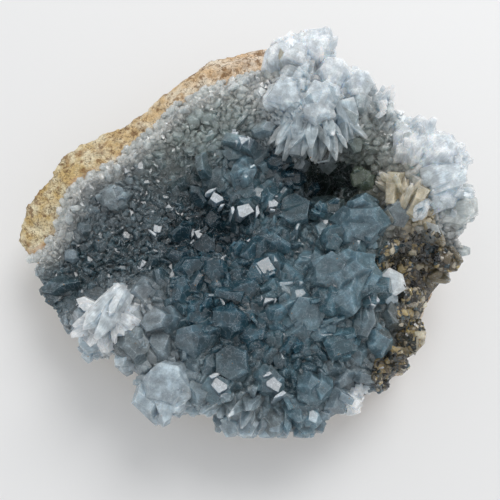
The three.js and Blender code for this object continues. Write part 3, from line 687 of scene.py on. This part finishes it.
def parallels(crystal, chance, count, forms):
    """Smaller crystals in step with one, standing out of its sides."""
    for _ in range(count):
        share = chance.uniform(*PARALLEL_WIDTHS)
        around = chance.uniform(0, math.tau)
        aside = Vector((math.cos(around), math.sin(around), 0)) * chance.uniform(*PARALLEL_ASIDE)
        aside.z = chance.uniform(-PARALLEL_RISE, PARALLEL_RISE)
        offset = Vector(a * h for a, h in zip(aside, crystal.half))
        half = Vector((share, share, chance.uniform(*PARALLEL_LENGTHS)))
        first = Matrix.Rotation(chance.gauss(0, PARALLEL_WANDER), 3, "X")
        second = Matrix.Rotation(chance.gauss(0, PARALLEL_WANDER), 3, "Y")
        yield Crystal(
            crystal.place + crystal.turn @ offset,
            crystal.turn @ first @ second,
            Vector(a * h for a, h in zip(half, crystal.half)),
            chance.choice(forms),
            varied(crystal.tint, "parallel", chance),
        )


def crown(crystal, chance):
    """The sloping faces in which a large flat crystal ends."""
    lean = Matrix.Rotation(chance.gauss(0, CROWN_WANDER), 3, "X")
    spin = Matrix.Rotation(chance.uniform(0, math.pi), 3, "Z")
    rise = crystal.turn @ Vector((0, 0, CROWN_RISE * crystal.half.z))
    half = Vector((crystal.half.x * CROWN_WIDTH, crystal.half.y * CROWN_WIDTH, crystal.half.z))
    tint = varied(crystal.tint, "crown", chance)
    return Crystal(crystal.place + rise, crystal.turn @ (lean @ spin), half, "wedge", tint)


def glint_crystals(chance):
    """Groups of flat flakes that mirror the window, each broken into a few pieces."""
    tree = solid_tree("celestite_crust")
    for x, y, width in GLINTS:
        hit = tree.ray_cast(Vector((x * MM, y * MM, 1)), DOWN)[0]
        turn = turned_to(mirror_normal(hit), chance.uniform(0, math.tau))
        form = "chip" if width < WHOLE_GLINT else "flake"
        for aside, along, across in GLINT_PIECES:
            lift = Vector((0, 0, GLINT_LIFT * width * MM))
            place = hit + lift + turn @ Vector((aside * width * MM, 0, 0))
            half = Vector((along, across, 1)) * width * MM * chance.uniform(*GLINT_SIZES)
            tilt = Matrix.Rotation(chance.gauss(0, GLINT_WANDER), 3, "X")
            yield Crystal(place, turn @ tilt, half, form, linear_tint("glint"))


def fan_crystals(chance):
    """Thin crystals that spread from a common root."""
    for x, y, z, width, length, count, lean, towards, spread, name in FANS:
        for _ in range(count):
            down = math.radians(lean + chance.gauss(0, spread))
            around = math.radians(towards + chance.gauss(0, spread))
            level = math.sin(down)
            out = Vector((level * math.cos(around), level * math.sin(around), math.cos(down)))
            wide = width * chance.uniform(*FAN_WIDTHS)
            reach = length * chance.uniform(*FAN_LENGTHS)
            yield Crystal(
                Vector((x, y, z)) * MM + out * reach * MM / 2,
                turned_to(out, chance.uniform(0, math.tau)),
                Vector((wide, wide, reach)) * MM / 2,
                "blade",
                varied(linear_tint(name), "fan", chance),
            )


def fringe_crystals(chance):
    """Fine frosted crystals that spill from the crust's rim over the lip of the stone's bare side."""
    tree = solid_tree("limestone_matrix")
    for _ in range(FRINGE_COUNT):
        start = chance.randrange(len(RIME_LINE) - 1)
        share = chance.random()
        x, y = (a + (b - a) * share for a, b in zip(RIME_LINE[start], RIME_LINE[start + 1]))
        reach = FRINGE_REACH * chance.random() ** FRINGE_SKEW - FRINGE_START
        out = Vector((x, y)).normalized() * reach
        above = Vector(((x + out.x) * MM, (y + out.y) * MM, 1))
        hit, normal = tree.ray_cast(above, DOWN)[:2]
        if hit is None:
            continue
        width = chance.uniform(*FRINGE_WIDTHS) * MM
        way = strayed(normal, FRINGE_WANDER, 0, chance)
        yield Crystal(
            hit + normal * FRINGE_LIFT * width,
            turned_to(way, chance.uniform(0, math.tau)),
            Vector((width, width, width)) / 2,
            "cap",
            varied(linear_tint("rime"), "fringe", chance),
        )


def as_objects(crystals, shapes, chance):
    """The crystals as separate objects in a collection, sharing a few meshes of each form."""
    bed = bpy.data.collections.new("bed")
    bpy.context.scene.collection.children.link(bed)
    for i, crystal in enumerate(crystals):
        item = bpy.data.objects.new(f"crystal_{i}", chance.choice(shapes[crystal.form]))
        item.matrix_world = crystal.matrix()
        bed.objects.link(item)
    return bed


def closed_copy(node):
    """A copy of a solid's mesh with its corners merged, so that it is one closed surface."""
    source = frame["nodes"][node].data
    bm = bmesh.new()
    bm.from_mesh(source)
    bmesh.ops.remove_doubles(bm, verts=bm.verts, dist=SAME_CORNER)
    return mesh_from(bm, source.name + "_closed")


def apply_modifiers(piece):
    """Gives an object the mesh that its modifiers make."""
    bpy.context.view_layer.update()
    mesh = bpy.data.meshes.new_from_object(piece.evaluated_get(bpy.context.evaluated_depsgraph_get()))
    piece.modifiers.clear()
    piece.data = mesh


def united(name, base, collection):
    """The base mesh and a collection's objects, joined to one closed solid in a new object."""
    piece = new_object(name, base)
    union = piece.modifiers.new("union", "BOOLEAN")
    union.operation = "UNION"
    union.operand_type = "COLLECTION"
    union.collection = collection
    union.solver = "MANIFOLD"
    apply_modifiers(piece)
    return piece


def face_owners(mesh, bed):
    """Which of a collection's crystals each face of the joined mesh is of, and -1 for the base's."""
    corners, faces, owners = [], [], []
    for i, item in enumerate(bed.objects):
        start = len(corners)
        corners += [item.matrix_world @ v.co for v in item.data.vertices]
        faces += [[start + v for v in p.vertices] for p in item.data.polygons]
        owners += [i] * len(item.data.polygons)
    tree = BVHTree.FromPolygons(corners, faces)
    hits = [tree.find_nearest(p.center, SAME_FACE) for p in mesh.polygons]
    return np.array([-1 if hit[0] is None else owners[hit[2]] for hit in hits])


def tint_faces(mesh, owner, crystals):
    """Gives each face its crystal's tint."""
    centres = np.array([p.center for p in mesh.polygons])
    values = rimed(face_blend(centres)[2], centres)
    for i in np.flatnonzero(owner >= 0):
        values[i] = crystals[owner[i]].tint
    tint = mesh.attributes.new("tint", "FLOAT_COLOR", "FACE")
    tint.data.foreach_set("color", values.astype(np.float32).ravel())


def place_corners(mesh, owner, crystals):
    """Gives each corner of a face its place along its crystal's axes, in mm."""
    turns = np.array([c.turn for c in crystals] + [Matrix.Identity(3)])
    places = np.array([c.place for c in crystals] + [Vector()])
    owner = np.repeat(owner, [p.loop_total for p in mesh.polygons])
    where = corners_of(mesh)[[loop.vertex_index for loop in mesh.loops]]
    inside = np.einsum("nij,ni->nj", turns[owner], where - places[owner]) / MM
    own = mesh.attributes.new("own_place", "FLOAT_VECTOR", "CORNER")
    own.data.foreach_set("vector", inside.astype(np.float32).ravel())


def add_node(tree, kind, **values):
    """A shader node with some of its inputs and settings filled in."""
    node = tree.nodes.new("ShaderNode" + kind)
    for name, value in values.items():
        if name in node.inputs:
            node.inputs[name].default_value = value
        else:
            setattr(node, name, value)
    return node


def fill(tree, socket, value):
    """Links another socket to one, or sets it to a number or colour."""
    if isinstance(value, bpy.types.NodeSocket):
        tree.links.new(value, socket)
    else:
        socket.default_value = value


def mixed(tree, factor, first, second, kind="MIX"):
    """A colour mix of two sockets or colours."""
    mix = add_node(tree, "Mix", data_type="RGBA", blend_type=kind)
    for name, value in (("Factor", factor), ("A", first), ("B", second)):
        fill(tree, mix.inputs[name], value)
    return mix.outputs["Result"]


def ranged(tree, value, low, high, start=0.0, end=1.0):
    """A value mapped from start..end to low..high, held at the ends."""
    node = add_node(tree, "MapRange")
    for name, limit in (("From Min", start), ("From Max", end), ("To Min", low), ("To Max", high)):
        node.inputs[name].default_value = limit
    tree.links.new(value, node.inputs["Value"])
    return node.outputs["Result"]


def arithmetic(tree, operation, first, second):
    """A maths node of two sockets or numbers, held between nought and one."""
    node = add_node(tree, "Math", operation=operation)
    node.use_clamp = True
    for socket, value in zip(node.inputs, (first, second)):
        fill(tree, socket, value)
    return node.outputs["Value"]


def bumped(tree, height, strength, distance, below=None):
    """The normal of a surface with a relief, over that of one below it."""
    bump = add_node(tree, "Bump", Strength=strength, Distance=distance)
    tree.links.new(height, bump.inputs["Height"])
    if below is not None:
        tree.links.new(below, bump.inputs["Normal"])
    return bump.outputs["Normal"]


def rounded_normal(tree, radius):
    """The normal as if every edge were rounded off by radius."""
    bevel = add_node(tree, "Bevel", Radius=radius)
    bevel.samples = BEVEL_SAMPLES
    return bevel.outputs["Normal"]


def edge_mask(tree, radius):
    """One along the edges of a flat-faced mesh, within about radius of them, and nought on the faces."""
    face = add_node(tree, "NewGeometry")
    match = add_node(tree, "VectorMath", operation="DOT_PRODUCT")
    tree.links.new(rounded_normal(tree, radius), match.inputs[0])
    tree.links.new(face.outputs["Normal"], match.inputs[1])
    return ranged(tree, match.outputs["Value"], 0, 1, *EDGE_MATCHES)


def named_noises(tree, vector, unit, patches):
    """Noises by name, whose patches are given in a unit of the vector."""
    noises = {}
    for name, (size, detail) in patches.items():
        scaled = add_node(tree, "VectorMath", operation="DIVIDE")
        tree.links.new(vector, scaled.inputs[0])
        scaled.inputs[1].default_value = [side * unit for side in size]
        cloud = add_node(tree, "TexNoise", Scale=1, Detail=detail)
        tree.links.new(scaled.outputs["Vector"], cloud.inputs["Vector"])
        noises[name] = cloud.outputs["Fac"]
    return noises


def contour(tree, noise_value, half_width, strength):
    """Thin lines along which a noise is at its middle value, strength squared at most."""
    rise = ranged(tree, noise_value, 0, strength, 0.5 - half_width, 0.5)
    fall = ranged(tree, noise_value, strength, 0, 0.5, 0.5 + half_width)
    return arithmetic(tree, "MULTIPLY", rise, fall)


def new_material(name, values):
    """A material, its nodes and its shader, with the values set that are the same all over."""
    material = bpy.data.materials.new(name)
    material.use_nodes = True
    shader = material.node_tree.nodes["Principled BSDF"]
    for socket, value in values.items():
        shader.inputs[socket].default_value = value
    return material, material.node_tree, shader


def celestite_colour(tree, tint, noises, frosting):
    """The tint with clouds and streaks in it, thin veils, edges lightened by frosting and painted
    highlight, dust and a little rust.
    """
    colour = tint
    for name, limits in CLOUDING.items():
        colour = mixed(tree, 1, colour, ranged(tree, noises[name], *limits), "MULTIPLY")
    veil = contour(tree, noises["veils"], 0.03, 0.5)
    dust = ranged(tree, noises["specks"], 0, 0.8, 0.7, 0.76)
    stained = ranged(tree, noises["patches"], 0, 1, 0.73, 0.77)
    rust = arithmetic(tree, "MULTIPLY", stained, ranged(tree, noises["specks"], 0, 1, 0.4, 0.5))
    # The frosting mix along the edges is partly frost and partly painted highlight.
    for share, shade in ((veil, VEIL_COLOUR), (frosting, EDGE_FROST_AND_HIGHLIGHT_COLOUR), (dust, DUST_COLOUR)):
        colour = mixed(tree, share, colour, shade)
    return mixed(tree, rust, colour, (*seen(RUST_COLOUR), 1))


def celestite_material(name, rounding):
    """Grey-blue celestite: part clear, glassy, clouded and streaked inside, lightened along its edges by
    frosting and painted highlight.
    """
    material, tree, shader = new_material(name, CELESTITE)
    tint = add_node(tree, "Attribute", attribute_name="tint")
    own = add_node(tree, "Attribute", attribute_name="own_place").outputs["Vector"]
    place = add_node(tree, "TexCoord").outputs["Object"]
    noises = named_noises(tree, place, MM, CRUST_NOISES) | named_noises(tree, own, 1, CRYSTAL_NOISES)
    patchy = ranged(tree, noises["patches"], 0.04, 0.9, 0.54, 0.66)
    # The edge frosting is partly frost on chipped edges and partly painted highlight of edges catching the
    # light.
    frosting = arithmetic(tree, "MULTIPLY", edge_mask(tree, EDGE_FROST_AND_HIGHLIGHT_REACH), patchy)
    colour = celestite_colour(tree, tint.outputs["Color"], noises, frosting)
    milk = arithmetic(tree, "ADD", frosting, ranged(tree, noises["clouds"], -0.15, 0.2, 0.35, 0.65))
    clear = arithmetic(tree, "SUBTRACT", tint.outputs["Alpha"], milk)
    pitted = bumped(tree, noises["etching"], 0.22, 0.1 * MM, rounded_normal(tree, rounding))
    fill(tree, shader.inputs["Base Color"], colour)
    fill(tree, shader.inputs["Transmission Weight"], clear)
    fill(tree, shader.inputs["Normal"], bumped(tree, noises["streaks"], 0.3, 0.04 * MM, pitted))
    fill(tree, shader.inputs["Roughness"], ranged(tree, noises["streaks"], 0.08, 0.22, 0.35, 0.7))
    absorption = add_node(tree, "VolumeAbsorption", Color=ABSORBED_TO, Density=ABSORPTION)
    tree.links.new(absorption.outputs["Volume"], tree.nodes["Material Output"].inputs["Volume"])
    return material


def limestone_colour(tree, place, noises):
    """Cream and ochre, yellower at one end, stained and cracked, and rusty by the crust."""
    shades = {name: (*seen(rgb), 1) for name, rgb in STONE_COLOURS.items()}
    along = add_node(tree, "SeparateXYZ")
    tree.links.new(place, along.inputs[0])
    end = ranged(tree, along.outputs["X"], 0, 1, YELLOW_END, PINK_START)
    cream = mixed(tree, end, shades["cream"], shades["pink cream"])
    ochre = mixed(tree, end, shades["ochre"], shades["pink ochre"])
    frost = add_node(tree, "Attribute", attribute_name="frost").outputs["Fac"]
    near = ranged(tree, frost, 0, 1, 0, 0.35)
    rusty = arithmetic(tree, "MULTIPLY", near, ranged(tree, noises["patches"], 0, 0.9, 0.4, 0.6))
    frosted = arithmetic(tree, "MULTIPLY", frost, ranged(tree, noises["stains"], 0.3, 1.3, 0.3, 0.6))
    stained = ranged(tree, noises["stains"], 0, 0.85, 0.55, 0.66)
    layered = ranged(tree, noises["layers"], 0, 0.6, 0.54, 0.64)
    cracked = contour(tree, noises["cracks"], 0.022, 0.95)
    colour = mixed(tree, ranged(tree, noises["patches"], 0, 1, 0.4, 0.6), cream, ochre)
    for share, name in ((stained, "stain"), (layered, "layer"), (cracked, "crack")):
        colour = mixed(tree, share, colour, shades[name])
    grained = ranged(tree, noises["grains"], 0.78, 1.2, 0.34, 0.66)
    colour = mixed(tree, 1, colour, grained, "MULTIPLY")
    colour = mixed(tree, rusty, colour, shades["rust"])
    return mixed(tree, frosted, colour, shades["frosting"])


def limestone_material():
    """Tan limestone: dull, crumbly and pitted."""
    material, tree, shader = new_material("limestone", {})
    place = add_node(tree, "TexCoord").outputs["Object"]
    noises = named_noises(tree, place, MM, STONE_NOISES)
    fill(tree, shader.inputs["Base Color"], limestone_colour(tree, place, noises))
    fill(tree, shader.inputs["Normal"], bumped(tree, noises["grains"], 0.9, 0.4 * MM))
    fill(tree, shader.inputs["Roughness"], ranged(tree, noises["patches"], 0.75, 0.95))
    return material


def crystal_piece(name, base, crystals, shapes, material, chance):
    """One closed piece of crystals grown together, on a base mesh."""
    for crystal in crystals:
        crystal.keep_inside(*cad_box)
    bed = as_objects(crystals, shapes, chance)
    piece = united(name, base, bed)
    mesh = piece.data
    owner = face_owners(mesh, bed)
    tint_faces(mesh, owner, crystals)
    place_corners(mesh, owner, crystals)
    bpy.data.batch_remove(list(bed.objects))
    bpy.data.collections.remove(bed)
    where = np.clip(corners_of(mesh), *(np.array(corner) for corner in cad_box))
    mesh.vertices.foreach_set("co", where.ravel())
    mesh.shade_flat()
    mesh.materials.clear()
    mesh.materials.append(material)
    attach(piece, "root")
    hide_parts("celestite_crust")


def coarse_crystals(chance):
    """The mirror faces, the fans and the large crystals, with what has grown in step with them."""
    coarse = [*glint_crystals(random.Random(SEED)), *fan_crystals(random.Random(SEED))]
    for row, crystal in zip(LARGE, list(large_crystals(chance))):
        coarse.append(crystal)
        clean = row[-1] in CLEAN_TINTS or crystal.form == "table"
        if clean or crystal.half.x < COARSE:
            continue
        coarse += parallels(crystal, chance, PARALLELS, PARALLEL_FORMS)
        if crystal.half.x > CROWNED:
            coarse.append(crown(crystal, chance))
    return coarse


def make_crust():
    """The crust: its coarse crystals on the solid's form, the fine ones, and those in the gaps."""
    # Each kind of crystal is made whole before the next, because all draw on one run of chance.
    chance = random.Random(SEED)
    shapes = {
        form: [crystal_mesh(f"{form}_{i}", form, chance) for i in range(FORM_SHAPES)] for form in FORMS
    }
    coarse = coarse_crystals(chance)
    fine = list(fringe_crystals(chance))
    for crystal in list(bed_crystals(chance, SEED)):
        if crystal.half.x * 2 < COARSE:
            fine.append(crystal)
            continue
        count = chance.choice(COARSE_PARALLELS) if crystal.form != "shard" else 0
        coarse += [crystal, *parallels(crystal, chance, count, (crystal.form,))]
    filling = list(bed_crystals(chance, SEED + 1, FILL_SHARE))
    coarse_material = celestite_material("celestite_coarse", COARSE_ROUNDING)
    fine_material = celestite_material("celestite_fine", FINE_ROUNDING)
    crust = closed_copy("celestite_crust")
    crystal_piece("crystal_crust", crust, coarse, shapes, coarse_material, chance)
    for name, crystals in (("fine_crystals", fine), ("gap_crystals", filling)):
        base = shapes[crystals[0].form][0].copy()
        base.transform(crystals[0].matrix())
        crystal_piece(name, base, crystals, shapes, fine_material, chance)


def roughened(place, normal):
    """A point of the stone moved inwards by ledges, lumps and pits."""
    here = place / MM
    sway = LEDGE_SWAY * noise.noise(here / SWAY_LENGTH)
    ledge = abs((here.z / LEDGE_HEIGHT + sway) % 1 - 0.5)
    lump = abs(noise.fractal(here / LUMP_LENGTH, *LUMP_FRACTAL))
    pit = max(0.0, noise.noise(here / PIT_LENGTH + PIT_SHIFT) - PIT_START)
    return place - normal * MM * (LEDGE_DEPTH * ledge + LUMP_DEPTH * lump + PIT_DEPTH * pit)


def frosting_at(places):
    """How frosted the stone is at places: near the crust's rim, and not far down its side."""
    drop = (face_blend(places)[0] - places[:, 2]) / MM
    away = np.maximum(rim_distance(places), drop - STONE_FROST_REACH)
    return np.clip(1 - away / STONE_FROST_REACH, 0, 1)


def make_stone():
    """The limestone shell under the crust, with a broken, pitted side."""
    stone = new_object("limestone_shell", closed_copy("limestone_matrix"))
    stone.data.materials.clear()
    remesh = stone.modifiers.new("even", "REMESH")
    remesh.mode = "VOXEL"
    remesh.voxel_size = STONE_VOXEL
    apply_modifiers(stone)
    mesh = stone.data
    rough = [roughened(v.co, v.normal) if v.co.z > FOOT_HEIGHT else v.co.copy() for v in mesh.vertices]
    for vertex, place in zip(mesh.vertices, rough):
        vertex.co = place
    frost = mesh.attributes.new("frost", "FLOAT", "POINT")
    frosted = frosting_at(corners_of(mesh))
    frost.data.foreach_set("value", frosted.astype(np.float32))
    mesh.shade_smooth()
    mesh.materials.append(limestone_material())
    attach(stone, "root")
    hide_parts("limestone_matrix")


def make_floor():
    """The plain floor that the piece rests on."""
    sides = ((-1, -1), (1, -1), (1, 1), (-1, 1))
    mesh = bpy.data.meshes.new("floor")
    mesh.from_pydata([(x * FLOOR_REACH, y * FLOOR_REACH, 0) for x, y in sides], [], [(0, 1, 2, 3)])
    floor = new_object("floor", mesh)
    mesh.materials.append(new_material("floor", FLOOR)[0])


def make_lights():
    """A square soft window that faces the piece, and the sky."""
    light = bpy.data.lights.new("window", "AREA")
    light.shape = "SQUARE"
    light.size = WINDOW_SIZE
    light.energy = WINDOW_POWER
    lamp = new_object("window", light)
    lamp.location = WINDOW_PLACE
    lamp.rotation_euler = (CAMERA_TARGET - WINDOW_PLACE).to_track_quat("-Z", "Y").to_euler()
    world = bpy.data.worlds.new("studio")
    world.use_nodes = True
    background = world.node_tree.nodes["Background"]
    background.inputs["Color"].default_value = SKY_COLOUR
    background.inputs["Strength"].default_value = SKY_STRENGTH
    bpy.context.scene.world = world


def make_camera():
    """The camera at the photograph's angle."""
    camera = bpy.data.cameras.new("camera")
    camera.sensor_width = SENSOR_WIDTH
    camera.lens = camera.sensor_width * FOCAL_PIXELS / IMAGE_SIZE
    camera.shift_x = (IMAGE_SIZE / 2 - TARGET_PIXEL[0]) / IMAGE_SIZE
    camera.shift_y = (TARGET_PIXEL[1] - IMAGE_SIZE / 2) / IMAGE_SIZE
    camera.clip_start = NEAREST_SEEN
    item = new_object("camera", camera)
    item.location = CAMERA_PLACE
    item.rotation_euler = (CAMERA_TILT, 0, 0)
    bpy.context.scene.camera = item


bpy.context.scene.view_settings.view_transform = "Standard"
make_camera()
make_lights()
make_floor()
make_stone()
make_crust()
